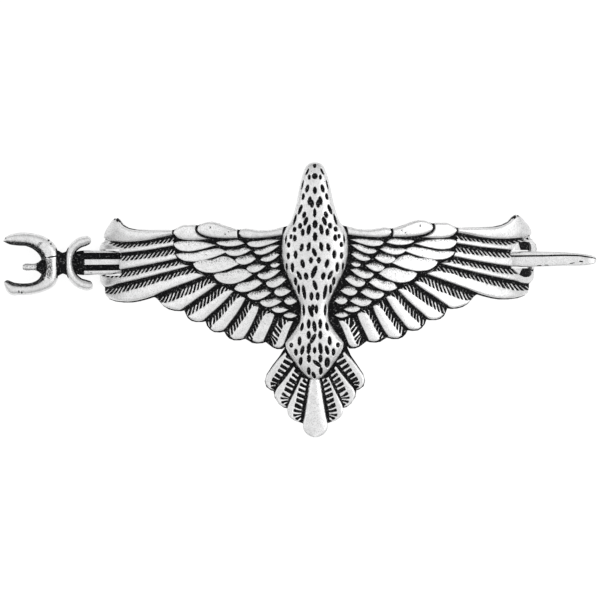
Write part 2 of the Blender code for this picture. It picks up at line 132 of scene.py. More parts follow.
# Marks left by the casting: across, along, half-width, half-length, and lean in degrees.
PLATE_MARKS = [(-51.7, 10.5, 0.12, 0.9, -38), (-52.3, 11, 0.12, 0.6, -30), (-52.9, 11.4, 0.15, 0.4, -30),
               (-27.5, 8.9, 0.14, 0.24, 20), (-22.7, 7.7, 0.13, 0.16, 0), (-23.6, 7.1, 0.12, 0.12, 0)]
FINIAL_MARKS = [
    (-78.4, -7.6, 0.22, 0.3, 0), (-77.6, -7.8, 0.22, 0.35, 0), (-70.4, 5.9, 0.25, 0.3, 30),
    (-69.8, 5, 0.2, 0.35, 10), (-69.5, 1.55, 1.6, 0.19, -9), (-81.8, 6.7, 0.2, 0.3, 0),
]
TIP_MARKS = [
    (59.2, -1.8, 0.6, 0.14, 0), (61, -1.7, 0.5, 0.12, 0), (67.8, -1.15, 0.8, 0.12, -14),
    (70.2, -0.6, 0.5, 0.22, 0),
]

# The left half of the plate's outline, from under the crown of the head round to the tail's end.
OUTLINE = [
    (0, 24.4), (-1.5, 24.0), (-2.7, 22.3), (-3.3, 19.0), (-3.9, 15.6), (-4.8, 12.1), (-6.0, 9.9),
    (-7.4, 9.1), (-9, 8.7), (-11, 8.2), (-13, 8), (-15, 8), (-17, 8.3), (-18.7, 8.5), (-20.2, 8.2),
    (-21.5, 8.5), (-23.5, 9.1), (-25.5, 9.9), (-27.5, 10.4), (-29.3, 10.2), (-31, 9.5), (-33, 9.6),
    (-35, 9.6), (-36.3, 9), (-37.5, 8.35), (-40, 8.35), (-44, 8.35), (-47.5, 8.5), (-49.8, 9),
    (-51.4, 9.9), (-52.2, 11), (-52.9, 11.6), (-53.6, 10.9), (-54.4, 9.9), (-55.3, 8.6), (-55.7, 7.3),
    (-55.6, 6.4), (-56.1, 5.7), (-56.9, 4.8), (-57.5, 3.8), (-57.7, 2.5), (-57.7, 0), (-57.5, -2.6),
    (-57.3, -5), (-56.8, -6), (-56.2, -6.6), (-56.2, -7.6), (-55.8, -8.9), (-54.9, -9.8),
    (-53.3, -10.4), (-51, -10.7), (-49, -10.7), (-47, -10.4), (-45, -9.9), (-43, -9.3), (-42, -9.7),
    (-41.2, -10.8), (-40.3, -11.8), (-39, -12.6), (-37.5, -13), (-36, -13.1), (-34.9, -12.9),
    (-34.5, -13.9), (-34, -14.9), (-33, -15.7), (-31.8, -16), (-30.3, -16), (-29.3, -15.8),
    (-28.9, -17), (-28, -18.1), (-27, -18.7), (-25.6, -18.8), (-24.3, -18.6), (-23.8, -19.6),
    (-23, -20.4), (-21.8, -20.9), (-20.3, -20.9), (-18.8, -20.5), (-17.9, -21), (-17, -21.6),
    (-15.8, -21.8), (-14.3, -21.7), (-13.4, -21.4), (-12.5, -22.1), (-11.4, -22.9), (-10.3, -23.3),
    (-9, -23.3), (-8.2, -22.7), (-9.4, -25), (-11.3, -27.6), (-12.8, -29.9), (-13.3, -31.7),
    (-12.9, -33.2), (-11.7, -34.1), (-11, -34.3), (-10.7, -36), (-9.6, -37.7), (-8.3, -38.7),
    (-7.4, -38.9), (-7.1, -40.5), (-5.6, -42.1), (-4.3, -42.6), (-3.4, -42.8), (-2.5, -44.7),
    (-1.2, -46.2), (0, -46.6),
]

# Each flight feather of the left wing: how many points of the edge above lie along it, the lean of its barbs,
# the line where the barbs end, and its lower edge with its tip.
LEADING_EDGE = [(-37.4, 7), (-40, 6.5), (-44, 5.7), (-48, 5.3), (-52, 5.35), (-54.3, 5.7), (-56, 6)]
FLIGHT_FEATHERS = [
    (7, 0.85, [(-37.4, 5.2), (-40, 4.8), (-44, 4.25), (-48, 3.75), (-51, 3.6), (-53, 4.0), (-55, 4.6),
     (-56.6, 4.9)],
     [(-37.4, 4.15), (-40, 3.75), (-44, 3.1), (-48, 2.7), (-51, 2.45), (-57.35, 2.2), (-57.2, 3.6),
      (-56.9, 4.4), (-56.6, 4.9)]),
    (6, 0.85, [(-37, 1.9), (-40, 1.4), (-44, 0.8), (-48, 0.4), (-51.5, 0.1), (-57.35, 0)],
     [(-36.5, 0.75), (-40, 0), (-45, -0.95), (-51.8, -2), (-57.2, -2.6), (-57.35, 0)]),
    (5, 0.85, [(-35.5, -0.9), (-38, -1.4), (-42, -2.3), (-46, -3.2), (-50, -3.9), (-53.5, -4.2),
     (-55.5, -4), (-57.1, -3.6)],
     [(-33, -1.1), (-36, -1.95), (-40, -2.95), (-44, -3.95), (-48, -4.85), (-52, -5.65), (-56, -6.4),
      (-56.9, -5.6), (-57.1, -3.6)]),
    (7, 0.85, [(-31.5, -3.1), (-34, -3.4), (-38, -4.6), (-42, -5.6), (-46, -6.8), (-50, -7.8),
     (-53, -8.5), (-55.7, -8.4)],
     [(-29.3, -3.8), (-32, -4.85), (-36, -6.3), (-40, -7.8), (-43, -8.95), (-45, -9.6), (-47, -10.1),
      (-49, -10.4), (-51, -10.4), (-53.3, -10.1), (-55, -9.4), (-55.7, -8.4)]),
    (5, 0.85, [(-26.8, -5.7), (-28.5, -6.2), (-30, -7.1), (-32, -8.2), (-34.5, -9.2), (-37, -10.2),
     (-39.6, -11), (-40.9, -10.9)],
     [(-26, -6), (-27, -6.85), (-29, -8.3), (-31, -9.6), (-33, -11), (-34.9, -12.3), (-36, -12.75),
      (-37.5, -12.65), (-39, -12.2), (-40.3, -11.5), (-40.9, -10.9)]),
    (6, 0.85, [(-22.4, -7.7), (-24, -8.1), (-25.5, -9.2), (-27, -10.4), (-28.5, -11.4), (-30, -12.4),
     (-32, -13.6), (-33.7, -14.5)],
     [(-21.6, -8), (-22.5, -8.9), (-24, -10.5), (-26, -12.4), (-28, -14.1), (-29.4, -15.3),
      (-30.5, -15.7), (-31.8, -15.7), (-33, -15.2), (-33.7, -14.5)]),
    (6, 0.85, [(-19.2, -9.5), (-20.6, -9.8), (-21.6, -10.8), (-22.6, -12), (-23.6, -13.3),
     (-25, -14.8), (-26, -15.9), (-27.1, -16.8), (-27.8, -17.7)],
     [(-18.5, -9.9), (-19.8, -12.2), (-21.1, -14.2), (-22.6, -16.1), (-24.4, -18.1), (-25.6, -18.4),
      (-27, -18.3), (-27.8, -17.7)]),
    (5, 0.85, [(-16.2, -11.9), (-17, -12.4), (-18.2, -14.3), (-19.2, -15.6), (-20.6, -17.7),
     (-21.6, -18.9), (-22.4, -20)],
     [(-15, -12.2), (-15.5, -13.8), (-16.3, -15.5), (-17.3, -17.5), (-18.7, -19.7), (-19.3, -20.3),
      (-20.3, -20.5), (-21.8, -20.5), (-22.4, -20)]),
    (5, 0.85, [(-11.3, -13.9), (-13, -14), (-14, -15), (-15.2, -17.3), (-16.3, -19.6), (-16.7, -21)],
     [(-10.9, -14.5), (-11.6, -16.4), (-12.5, -18.3), (-13.3, -20), (-13.9, -21.1), (-14.8, -21.4),
      (-15.8, -21.4), (-16.7, -21)]),
    (4, 0.5, [(-7, -16), (-8.3, -17), (-9, -18.5), (-9.7, -20), (-10.3, -21.6), (-11.2, -22.5)],
     [(-5.9, -16), (-7, -18.3), (-7.9, -20.6), (-8.8, -22.5), (-9.5, -22.9), (-10.3, -22.9),
      (-11.2, -22.5)]),
]
HOLED_FEATHERS = 3

# Coverts of the left wing: outer end, lowest point, inner end, then one or more points along the upper edge.
COVERTS = [
    [(-37, 4.7), (-34, 2.8), (-26.5, 4.25), (-30, 4.7), (-34, 4.9)],
    [(-36.3, 2), (-32.5, 0.1), (-23.8, 2.3), (-25.5, 2.8), (-28.5, 2.6), (-32, 1.9)],
    [(-31.8, -0.7), (-27.5, -2.9), (-20.6, -0.9), (-22.5, 0.2), (-24.5, 0.7), (-27, 0)],
    [(-26.4, -3.7), (-22.5, -5.9), (-17, -3.7), (-18.5, -2.9), (-20.5, -2.6), (-23.5, -3.4)],
    [(-21.2, -7.2), (-18.9, -8.1), (-14.3, -6), (-15.5, -5.4), (-17.5, -5.9)],
    [(-17.8, -8.9), (-15.7, -10.2), (-12, -8.5), (-13.3, -7.9), (-15.2, -8.4)],
    [(-14.5, -10.8), (-12.4, -12.1), (-9.2, -10.8), (-10.3, -10.2), (-12, -10.5)],
    [(-11.5, -12.7), (-9.6, -13.7), (-7.4, -12.9), (-9.2, -12.4)],
    [(-8.4, -14.4), (-6.6, -15.1), (-5, -14.4), (-6.5, -14)],
    [(-25.8, 4.9), (-22.2, 3.9), (-18.9, 4.6), (-20, 5), (-23.5, 4.9)],
    [(-23.7, 2.7), (-21, 1.4), (-17.2, 2.8), (-18.5, 3.1), (-20.5, 2.7)],
    [(-20.9, 0.3), (-18.8, -0.9), (-15.8, 0.5), (-16.8, 1.1), (-19, 0.9)],
    [(-18, -1.9), (-16.2, -3), (-13.3, -1.4), (-15, -1.2)],
    [(-15.1, -3.7), (-13.2, -4.8), (-9.4, -2.6), (-11, -2.6), (-13, -3.3)],
    [(-12.9, -5.9), (-11.2, -7), (-7.9, -5), (-9, -4.5), (-11, -5.1)],
    [(-10.8, -8.2), (-9.2, -9.3), (-6.6, -8), (-8.3, -7.3)],
    [(-8.2, -10.6), (-6.8, -11.6), (-5, -10.7), (-6.3, -9.9)],
    [(-17.7, 4.7), (-15.8, 3.7), (-9.5, 5.4), (-12, 5.2), (-15, 4.9)],
    [(-15.9, 2.4), (-14.4, 1.7), (-9.6, 4), (-11.5, 3.7), (-14, 2.8)],
    [(-14.3, 0.3), (-12.6, -0.2), (-9.6, 1.5), (-10.8, 1.8), (-12.6, 1)],
    [(-11.8, -1.2), (-10.7, -1.8), (-9.4, -0.9), (-10.5, -0.7)],
]

COVERT_GROWTH = (1.09, 1.12)
COVERT_LIFT = 0.36

# Bright corners at the inner end of the right wing's hole, mirrored: upper edge, then lower edge.
RAMPS = [
    ([(-51.3, 1.5), (-52.2, 3.3), (-53.2, 4.5)], [(-51.3, 1.5), (-53.9, 1.7), (-53.6, 3.1), (-53.2, 4.5)]),
    ([(-51.3, -1.8), (-54.3, -2), (-53.8, -3.3), (-53.4, -4.2)],
     [(-51.3, -1.8), (-52.4, -3.2), (-53.4, -4.2)]),
]

# Plain plates along the left wing's leading edge: upper edge, then lower edge, from the inner end outwards.
LEADING_PLATES = [
    ([(-8.3, 8.8), (-11, 8.2), (-13, 8), (-15, 8), (-17, 8.3), (-18.7, 8.5), (-19.8, 8.1), (-20.1, 7.2)],
     [(-8.6, 6.6), (-12, 6.2), (-15, 5.95), (-18, 5.95), (-19.4, 6.3), (-20.1, 7.2)]),
    ([(-20.5, 8.3), (-23, 8.9), (-25, 9.75), (-27, 10.3), (-28.5, 10.35), (-30, 9.85), (-30.9, 9.1),
      (-31, 8.2)],
     [(-20.4, 6), (-23.5, 5.95), (-26, 6.1), (-28, 6.4), (-29.5, 6.85), (-30.6, 7.5), (-31, 8.2)]),
    ([(-28.2, 5.9), (-29.8, 6.55), (-31, 7.35), (-31.5, 8.3), (-31.6, 9.45), (-33.5, 9.65), (-35, 9.6),
      (-36.2, 9), (-37.2, 8.1), (-37.3, 7.4)],
     [(-28.2, 5.8), (-31, 5.55), (-33, 5.55), (-35, 5.75), (-36.4, 6.3), (-37.3, 7.4)]),
    ([(-37.7, 8.35), (-41, 8.3), (-45, 8.3), (-48, 8.45), (-50, 9), (-51.4, 9.9), (-52.2, 11),
      (-52.9, 11.65), (-53.7, 11), (-54.5, 9.9), (-55.35, 8.6), (-55.75, 7.3), (-55.6, 6.3)],
     [(-37.6, 6.95), (-40, 6.5), (-44, 5.7), (-48, 5.3), (-52, 5.35), (-54.3, 5.7), (-55.6, 6.3)]),
]

# Tail feathers of the left side, about the tail's own line: dark line width, barb lean, inner line, the line
# where the barbs end, and the outer edge with its tip.
TAIL_FEATHERS = [
    (0.5, -0.2, [(-1.4, -31.4), (-1.9, -34), (-2.5, -37), (-3.1, -40), (-3.4, -42.7)],
     [(-3.1, -31), (-4, -32.4), (-4.5, -34), (-4.9, -35.8), (-5.4, -38), (-5.9, -40), (-5.8, -41.2),
      (-4.8, -42.2), (-3.7, -42.7)],
     [(-3.7, -30.7), (-4.7, -33), (-5.9, -35.4), (-7, -37.6), (-7.4, -38.6), (-7.4, -39.6),
      (-7, -40.9), (-6.2, -41.7), (-5, -42.3), (-3.7, -42.8)]),
    (0.35, -0.1, [(-3.8, -30.2), (-5, -33), (-6.3, -36), (-7.4, -38.4)],
     [(-5.2, -28.4), (-6.1, -29.8), (-6.8, -31), (-7.5, -32.2), (-8, -33.4), (-8.6, -34.7), (-9.3, -36),
      (-9, -37.2), (-7.7, -38.3)],
     [(-5.6, -27.8), (-7, -29.7), (-8.8, -32), (-10.5, -34.3), (-10.7, -35.2), (-10.3, -36.4),
      (-9.5, -37.6), (-8.6, -38.3), (-7.6, -38.6)]),
    (0.35, 0, [(-5.5, -27.1), (-7.2, -29.2), (-9, -31.5), (-10.8, -33.8)],
     [(-7.4, -24.8), (-8.3, -26.4), (-9.4, -28), (-10.3, -29.4), (-11.3, -30.9), (-11.9, -32.3),
      (-11.7, -33.2), (-10.9, -33.9)],
     [(-7.8, -24), (-10, -26.4), (-11.8, -28.8), (-12.9, -30.6), (-13.1, -31.6), (-12.8, -32.7),
      (-12, -33.6), (-10.9, -34)]),
]
KEEL = [
    (-31.2, 1.3), (-32, 1.5), (-35, 1.95), (-38.5, 2.5), (-41, 2.9), (-43, 3.3), (-44.3, 3.2),
    (-45.3, 2.7), (-46.1, 1.8), (-46.6, 0.5),
]

# The bird's body: distance along it, half-width and crown height.
BODY = [
    (25.8, 0.3, 0.3), (25.6, 1.3, 1.0), (25, 2.1, 1.5), (23, 3.05, 2.3), (20, 3.9, 2.8),
    (18, 4.3, 2.95), (15, 4.9, 3.15), (12, 5.75, 3.4), (10, 6.55, 3.55), (9, 7.3, 3.6), (7, 8.3, 3.75),
    (4, 8.7, 3.9), (0, 8.45, 3.85), (-2, 7.95, 3.75), (-4, 7.1, 3.6), (-6, 6.2, 3.4), (-8, 5.3, 3.2),
    (-10, 4.3, 2.95), (-12, 3.75, 2.75), (-14, 3.65, 2.6), (-16, 3.95, 2.6), (-18, 5, 2.65),
    (-20, 6.4, 2.75), (-22, 7.65, 2.8), (-24, 7.1, 2.65), (-26, 5.8, 2.35), (-28, 4.4, 2),
    (-30, 2.7, 1.5), (-31, 1.4, 1.1), (-31.5, 0.3, 0.8),
]

# Punched pits in mirrored pairs about the body's line, then single ones: across, along, half-width,
# half-length, and lean in degrees with the top leaning inwards (pairs) or to the right (singles).
PIT_PAIRS = [
    (2, 23.4, 0.35, 0.95, 25), (1.45, 21.9, 0.4, 0.65, 0), (3.3, 19.9, 0.3, 1.3, 12),
    (2, 18.9, 0.5, 1.05, 15), (3.1, 16.8, 0.45, 0.85, 10), (1.4, 15.7, 0.5, 1.15, 10),
    (0.8, 14.9, 0.5, 1.05, 0), (3.9, 13.4, 0.5, 1.35, 22), (2.8, 12, 0.5, 0.85, 15),
    (5.3, 10.8, 0.4, 1.5, 14), (2.4, 10.3, 0.5, 1.2, 18), (3.85, 9.1, 0.55, 0.75, 0),
    (1.6, 8.1, 0.5, 1.4, 8), (5.3, 8.2, 0.55, 0.65, 0), (3.15, 7.4, 0.5, 0.95, 0),
    (6.2, 6.3, 0.4, 0.6, 0), (5.2, 5.9, 0.5, 0.85, 0), (7.6, 5.6, 0.3, 1.15, 5),
    (6.8, 4.1, 0.5, 0.65, 0), (1.6, 3.6, 0.5, 1.25, 12), (3.4, 3.4, 0.5, 1.1, 14),
    (6.9, 1.2, 0.5, 0.85, 0), (4.95, 1.5, 0.5, 1.1, 0), (1, 0, 0.5, 0.85, 0),
    (3.1, -0.9, 0.5, 1.2, -12), (7.4, -1.7, 0.4, 1, 0), (5.8, -1.9, 0.5, 1.3, 0),
    (4, -4, 0.5, 1.3, -25), (2.2, -4.2, 0.55, 1, -10), (5, -5.6, 0.5, 1.1, 0),
    (4.2, -7.7, 0.45, 1.3, 0), (2.75, -8.4, 0.5, 2, -8), (0.8, -9.5, 0.5, 1.1, 0),
    (2.9, -13.1, 0.45, 1.5, -3), (3.3, -17.4, 0.5, 1.1, 8), (1.5, -16.7, 0.5, 1.25, 0),
    (1.5, -19.6, 0.5, 1.1, 0), (3.9, -21.2, 0.5, 1.25, 3), (6.1, -22.3, 0.55, 0.65, 0),
    (1.5, -23.2, 0.5, 1.6, 6), (3.2, -23.7, 0.5, 1.3, 15), (4.9, -24.2, 0.5, 1, 0),
    (1.5, -25.9, 0.5, 1.1, 0), (1.6, -29.2, 0.5, 1.1, 0),
]
PIT_SINGLES = [
    (0, 25, 0.45, 0.65, 0), (0, 22.2, 0.75, 0.8, 0), (0, 18.4, 0.5, 0.95, 0), (-0.1, 12.5, 0.4, 1.2, 0),
    (0, 9.5, 0.65, 1.1, 0), (0, 6.2, 0.6, 1.2, 0), (-0.15, 2.1, 0.5, 1.2, -20),
    (-0.2, -3.1, 0.6, 1.8, 20), (0.1, -6.6, 0.5, 1.4, -18), (-1, -13.4, 0.55, 1.6, -20),
    (-0.45, -12.4, 0.45, 0.8, 0), (0.5, -12.9, 0.45, 1.15, 0), (0, -17.4, 0.5, 1.5, -8),
    (-0.4, -20.6, 0.5, 1.5, 28), (0, -23.7, 0.4, 0.9, 0), (-3.7, -26.6, 0.5, 1.2, 12),
    (3.3, -27, 0.75, 1.4, 0), (0.6, -27.2, 0.5, 1.4, -50), (-0.3, -30.3, 0.5, 1, -20),
]
PIT_DEPTH = 0.5

# The stick's shaft: distance along it, width, thickness and groove depth.
SHAFT = [
    (-64.3, 4.2, 1.6, 0), (-63.4, 5.6, 1.8, 0.1), (-62.4, 6.3, 2.2, 0.3), (-61.3, 6.5, 2.7, 0.6),
    (-60.6, 6.5, 2.9, 0.7), (-50, 6.2, 3.0, 0.7), (-30, 5.8, 2.9, 0.6), (0, 5.2, 2.7, 0.5),
    (30, 4.6, 2.5, 0.3), (50, 4.25, 2.4, 0.12), (62, 3.85, 2.2, 0.12), (67, 3.45, 2.0, 0.1),
    (70, 3.15, 1.9, 0.08), (72.6, 2.55, 1.8, 0.05), (73.6, 2.0, 1.5, 0.01), (74.1, 1.2, 1.0, 0),
    (74.2, 0.3, 0.6, 0),
]
# The two long grooves: distance along, and their sides as shares of the half-width. One thins to a hairline.
GROOVES = [
    [(-50, 0.3, 0.79), (10, 0.34, 0.52), (52, 0.29, 0.49), (61, 0.34, 0.53), (70, 0.52, 0.76),
     (74, 0.35, 0.62)],
    [(-50, -0.62, -0.2), (10, -0.6, -0.45), (40, -0.6, -0.6), (74, -0.6, -0.6)],
]
TOP_COLUMNS = 90
BOTTOM_COLUMNS = 24

BIG_OUTER = [
    (-82.5, 5.8), (-81.4, 7.15), (-79.6, 7.8), (-76.9, 8.05), (-74.3, 7.75), (-71.65, 6.95),
    (-70.3, 6.15), (-69, 4.95), (-68.2, 3.5), (-67.9, 0), (-68.1, -3.9), (-68.6, -5.4),
    (-69.5, -6.45), (-70.9, -7.2), (-72.45, -7.8), (-74.8, -8.35), (-77.7, -8.5), (-80.9, -8.2),
    (-81.6, -7.4), (-82.1, -6.2), (-82.4, -5.1),
]
BIG_INNER = [
    (-82.5, 5.8), (-80.9, 5), (-78.3, 4.6), (-76.4, 4.45), (-74.8, 3.8), (-73.5, 2.8), (-72.6, 1.6),
    (-72.2, 0), (-72.2, -1.6), (-72.4, -3), (-72.8, -3.9), (-73.5, -4.6), (-74.8, -5.2), (-77.2, -5.45),
    (-79.6, -5.2), (-81.7, -4.6), (-82.4, -5.1),
]
SMALL_OUTER = [
    (-59.2, 5.6), (-59.3, 6.4), (-60.1, 7), (-61.5, 6.9), (-63.3, 6.1), (-64.9, 4.6), (-65.8, 3), (-66.1, 0),
    (-65.8, -3.2), (-64.9, -4.8), (-63.4, -6.3), (-61.6, -7.2), (-60, -7.4), (-59, -6.9), (-58.9, -5.8),
]
SMALL_INNER = [
    (-59.2, 5.6), (-59.5, 5), (-60.5, 4.4), (-61.9, 3.9), (-63.1, 2.9), (-63.8, 1.5), (-64, 0),
    (-63.8, -1.5), (-63.1, -3), (-61.8, -4.2), (-60.3, -4.7), (-59.3, -5.1), (-58.9, -5.8),
]
CRESCENT_THICK = 3.4
# Across a crescent from its inner side: share of its width, and share of its half-thickness.
CRESCENT_PROFILE = [
    (0, 0), (0, 0.35), (0.1, 0.6), (0.25, 0.8), (0.4, 0.96), (0.55, 1), (0.7, 0.93), (0.84, 0.74),
    (0.94, 0.45), (1, 0.12),
]
INNER_RECESS = 0.35
# Rough, half-dark patches on the big crescent, given as the marks are.
FINIAL_TARNISH = [
    (-70.3, -1.4, 1.1, 3.2, 0), (-73.2, 4.6, 1.8, 0.6, -35), (-79, 5.4, 2.6, 0.5, 5),
    (-79.8, -5.3, 2.2, 0.7, 4),
]
NECK_X = -66.8
# Neck between the crescents: distance along, half-height in plan, half-thickness.
NECK = [(-68.9, 3.6, 1.2), (-67.8, 3.3, 1.3), (-66.8, 2.8, 1.2), (-65.7, 3.2, 1.3), (-64.9, 3.6, 1.1)]
PEG_TARNISH = 0.17
PEG_ROOT = (-72.65, -1.1)
# Along the peg from its root, and its radius.
PEG = [(-1.2, 2.1), (0, 1.75), (0.5, 1.3), (1.0, 1.05), (1.7, 0.92), (4.25, 0.82), (4.6, 0.65), (4.75, 0.3)]


# The tent is long across the view: its stretch, the direction of its brightest part, and where it turns dark.
TENT_STRETCH = (0.2, 1, 1)
TENT_TOP = (0.14, 0.06, 0.98)
TENT_LOW = 0.1


class HairSlideSettings(bpy.types.PropertyGroup):
    """Finish of the casting and brightness of the stage."""

    silver: FloatVectorProperty(
        name="Silver", description="Colour of the rubbed metal", subtype="COLOR", size=3, min=0, max=1,
        default=(0.82, 0.82, 0.822),
    )
    patina: FloatVectorProperty(
        name="Patina", description="Colour left in the recesses", subtype="COLOR", size=3, min=0, max=1,
        default=(0.012, 0.012, 0.013),
    )
    polish: FloatProperty(
        name="Polish", description="Roughness of the rubbed metal", subtype="FACTOR", min=0.05, max=1,
        default=0.36,
    )
    grain: FloatProperty(
        name="Cast grain", description="Size of the grain left by casting", unit="LENGTH", min=0.00005,
        max=0.002, default=0.0003,
    )
    barb_pitch: FloatProperty(
        name="Barb pitch", description="Distance between engraved barbs on the wings", unit="LENGTH",
        min=0.0005, max=0.005, default=0.00117,
    )
    sky: FloatProperty(
        name="Sky", description="Brightness of the light tent overhead", min=0, max=5, default=1.08,
    )
    horizon: FloatProperty(
        name="Horizon", description="Brightness of the light tent's sides", min=0, max=5, default=0.38,
    )


def settings():
    return bpy.context.scene.hair_slide


def smooth(low, high, value):
    """0 below low, 1 above high, and an even turn between."""
    share = np.clip((value - low) / (high - low), 0, 1)
    return share * share * (3 - 2 * share)


def along(points, shares):
    """Places at shares of the length of a smooth curve through the points."""
    points = np.array(points, float)
    step = np.linalg.norm(np.diff(points, axis=0), axis=1)
    length = np.concatenate(([0], np.cumsum(step)))
    slope = np.gradient(points, length, axis=0)
    place = np.asarray(shares) * length[-1]
    i = np.clip(np.searchsorted(length, place, side="right") - 1, 0, len(step) - 1)
    gap = step[i][:, None]
    part = (place - length[i])[:, None] / gap
    back = 1 - part
    return (
        (1 + 2 * part) * back**2 * points[i]
        + part * back**2 * gap * slope[i]
        + part**2 * (3 - 2 * part) * points[i + 1]
        - part**2 * back * gap * slope[i + 1]
    )


def evenly(points, count):
    """Evenly spaced places on a smooth curve through the points."""
    return along(points, np.linspace(0, 1, count))


def length_of(points):
    return float(np.linalg.norm(np.diff(np.array(points, float), axis=0), axis=1).sum())


def travel_along(points):
    """Distance travelled at each point of a line."""
    return np.concatenate(([0], np.cumsum(np.linalg.norm(np.diff(points, axis=0), axis=1))))


def edge_drop(distance, radius=EDGE_ROUND):
    """How far a rounded edge has fallen at a distance inside it."""
    inside = np.clip(distance, 0, radius)
    return radius - np.sqrt(np.maximum(radius**2 - (radius - inside) ** 2, 0))


def pit_depth(x, y, pits):
    """Share of the full pit depth at each place."""
    deepest = np.zeros_like(x)
    for across, forward, half, length, lean in pits:
        turn = math.radians(lean)
        dx = x - across
        dy = y - forward
        side = (dx * math.cos(turn) - dy * math.sin(turn)) / half
        end = (dx * math.sin(turn) + dy * math.cos(turn)) / length
        away = np.sqrt(side**2 + end**2)
        deepest = np.maximum(deepest, 1 - smooth(0.72, 1.16, away))
    return deepest


def choose(*pieces):
    """Selects only these pieces, the first as the active one."""
    bpy.ops.object.select_all(action="DESELECT")
    for piece in pieces:
        piece.select_set(True)
    bpy.context.view_layer.objects.active = pieces[0]


def edit(piece):
    choose(piece)
    bpy.ops.object.mode_set(mode="EDIT")
    bpy.ops.mesh.select_mode(type="VERT")
    bpy.ops.mesh.select_all(action="SELECT")


def end_edit():
    bpy.ops.mesh.select_all(action="SELECT")
    bpy.ops.mesh.normals_make_consistent(inside=False)
    bpy.ops.object.mode_set(mode="OBJECT")


def skin(name, rings, recess):
    """A grid rolled into a closed tube with filled ends: rings of places in millimetres, and their recess."""
    rings = np.concatenate((rings, rings[:, :1]), axis=1)
    recess = np.concatenate((recess, recess[:, :1]), axis=1)
    rows, columns = recess.shape
    bpy.ops.object.select_all(action="DESELECT")
    bpy.ops.mesh.primitive_grid_add(x_subdivisions=columns - 1, y_subdivisions=rows - 1, size=1)
    piece = bpy.context.object
    piece.name = name
    give_recess(piece, recess)
    place(piece, rings)
    edit(piece)
    bpy.ops.mesh.remove_doubles(threshold=MERGE)
    bpy.ops.mesh.select_all(action="SELECT")
    bpy.ops.mesh.fill_holes(sides=0)
    end_edit()
    return piece


def strip(places, height, recess):
    """Rows of plan places given their heights, beside their recess."""
    return np.concatenate((places, height[..., None]), axis=2), recess


def column(places, height, recess):
    """One line of plan places, all at one height and with one recess."""
    every = np.full((len(places), 1), 1.0)
    return strip(places[:, None], every * height, every * recess)


def skin_of(name, parts):
    """A closed tube through neighbouring strips and columns."""
    rings = np.concatenate([part[0] for part in parts], axis=1)
    recess = np.concatenate([part[1] for part in parts], axis=1)
    return skin(name, rings, recess)


def block(name, outline, low, high, recess_top=0.0):
    """A circle's fill drawn out to an outline and extruded downwards."""
    bpy.ops.object.select_all(action="DESELECT")
    bpy.ops.mesh.primitive_circle_add(vertices=len(outline), fill_type="NGON")
    piece = bpy.context.object
    piece.name = name
    give_recess(piece, np.full(len(outline), recess_top))
    place(piece, np.array([(x, y, high) for x, y in outline]))
    edit(piece)
    bpy.ops.mesh.extrude_region_move(TRANSFORM_OT_translate={"value": (0, 0, (low - high) * MM)})
    end_edit()
    darken_top(piece, high, recess_top)
    return piece


def give_recess(piece, values):
    """Notes at every point how deep the surface lies there, for the silver's patina, and where shade is
    painted under the feathers' and coverts' edges.
    """
    depth = piece.data.attributes.new("recess", "FLOAT", "POINT")
    depth.data.foreach_set("value", values.astype(np.float32).ravel())


def darken_top(piece, high, level):
    """Gives the top of a flat block its recess, and the rest none."""
    values = np.where(places_of(piece)[:, 2] > high - 0.01, level, 0)
    piece.data.attributes["recess"].data.foreach_set("value", values.astype(np.float32))


def places_of(piece):
    places = np.zeros(len(piece.data.vertices) * 3, np.float32)
    piece.data.vertices.foreach_get("co", places)
    return places.reshape(-1, 3).astype(float) / MM


def place(piece, places):
    piece.data.vertices.foreach_set("co", (places * MM).astype(np.float32).ravel())
    piece.data.update()


def bow(piece):
    """Bends a flat piece of the plate over its two arcs and stands it on its wing tips."""
    x, y, height = places_of(piece).T
    span = abs(x)
    wide = np.arcsin(np.clip(span / SPAN_RADIUS, 0, 1))
    tight = np.arcsin(np.clip((span - TIP_CENTRE) / TIP_RADIUS, -1, 1))
    slope = np.where(span <= TIP_START, wide, tight)
    drop = np.where(
        span <= TIP_START,
        SPAN_RADIUS * (1 - np.cos(wide)),
        TIP_DROP + TIP_RADIUS * (math.cos(TIP_SLOPE) - np.cos(tight)),
    )
    across = x + np.sign(x) * height * np.sin(slope) + OFFSET_X
    across += smooth(49, 57, x) * (RIGHT_REACH + HOOK_REACH * smooth(4, 7, y))
    across += RIM_REACH * smooth(56.3, 57.5, x) * smooth(0.3, 2, y) * (1 - smooth(4, 6, y))
    up = np.maximum(REST_TO_CREST - drop + height * np.cos(slope), 0)
    place(piece, np.column_stack((across, y + OFFSET_Y, up)))


def mirror(piece):
    piece.data.transform(Matrix.Scale(-1, 4, (1, 0, 0)))
    piece.data.flip_normals()
    return piece


def mirrored_copy(piece):
    other = piece.copy()
    other.data = piece.data.copy()
    bpy.context.collection.objects.link(other)
    return mirror(other)


def on_both_sides(name, left, *middle):
    """The left side's pieces, their mirrored copies and any in the middle, as one."""
    return joined(name, left + [mirrored_copy(one) for one in left] + list(middle))


def joined(name, pieces):
    choose(*pieces)
    bpy.ops.object.join()
    pieces[0].name = name
    return pieces[0]


def boolean(piece, other, operation):
    """Joins or cuts with a closed shape, and takes that shape away."""
    modifier = piece.modifiers.new(operation.title(), "BOOLEAN")
    modifier.operation = operation
    modifier.solver = "EXACT"
    modifier.object = other
    bpy.context.view_layer.objects.active = piece
    bpy.ops.object.modifier_apply(modifier=modifier.name)
    bpy.data.objects.remove(other)


def finished(piece, body, nodes, crease=40):
    """Shades, coats and mounts a piece on its body, in place of the plain solids."""
    choose(piece)
    bpy.ops.object.shade_smooth_by_angle(angle=math.radians(crease))
    piece.data.materials.clear()
    piece.data.materials.append(silver_for(body))
    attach(piece, body)
    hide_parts(*nodes)


